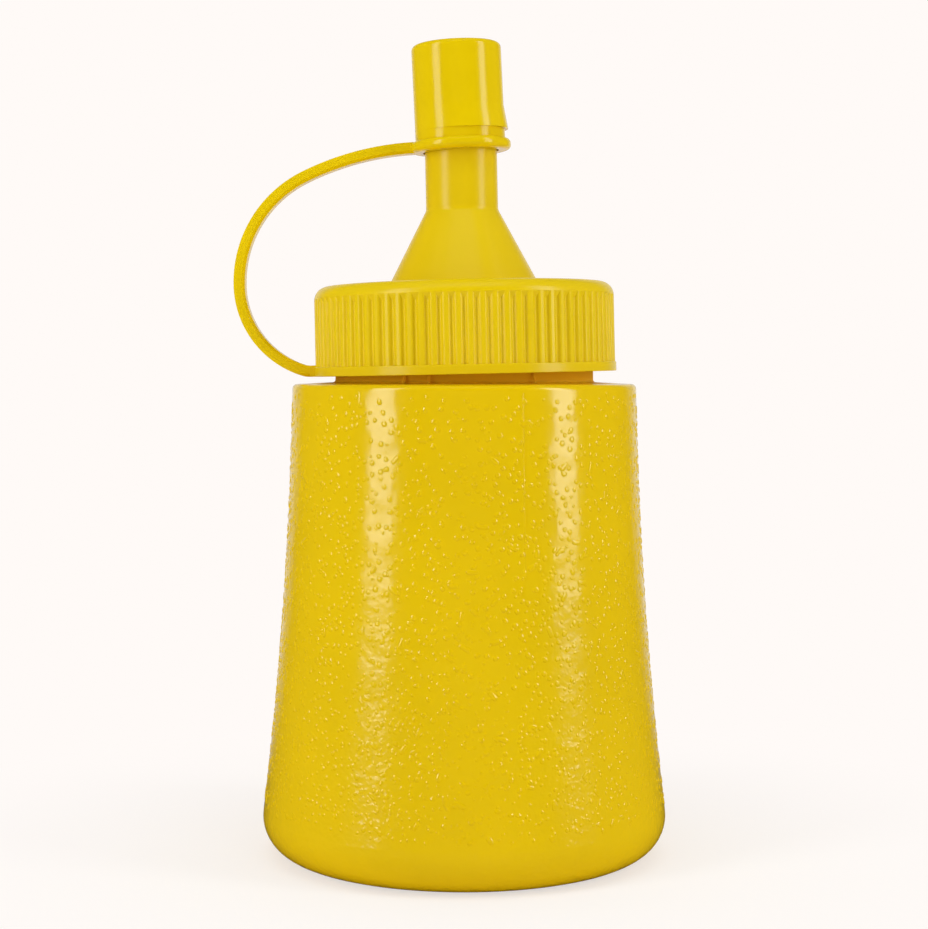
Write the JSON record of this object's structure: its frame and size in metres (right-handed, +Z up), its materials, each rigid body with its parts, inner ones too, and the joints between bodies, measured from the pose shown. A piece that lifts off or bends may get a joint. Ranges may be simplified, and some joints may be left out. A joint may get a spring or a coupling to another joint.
{
  "type": "squeeze bottle",
  "caption": "Opaque yellow squeeze bottle for sauce: flared textured body, ribbed screw cap with cone spout, and a tip cap on a curved strap, shown closed.",
  "frame": {"origin": "centre of the base, on the surface that the bottle stands on", "axes": "+Z up the bottle's axis, -X towards the strap, -Y towards the viewer"},
  "size_m": [0.0752, 0.07, 0.1411],
  "materials": {
    "bottle_wall": "blow-moulded polyethylene, glossy over a raised pebble texture",
    "closure": "injection-moulded polyethylene, smooth gloss"
  },
  "bodies": {
    "root": {"bottle": "bottle_wall", "spout_cap": "closure", "tip_cap": "closure"}
  },
  "joints": []
}
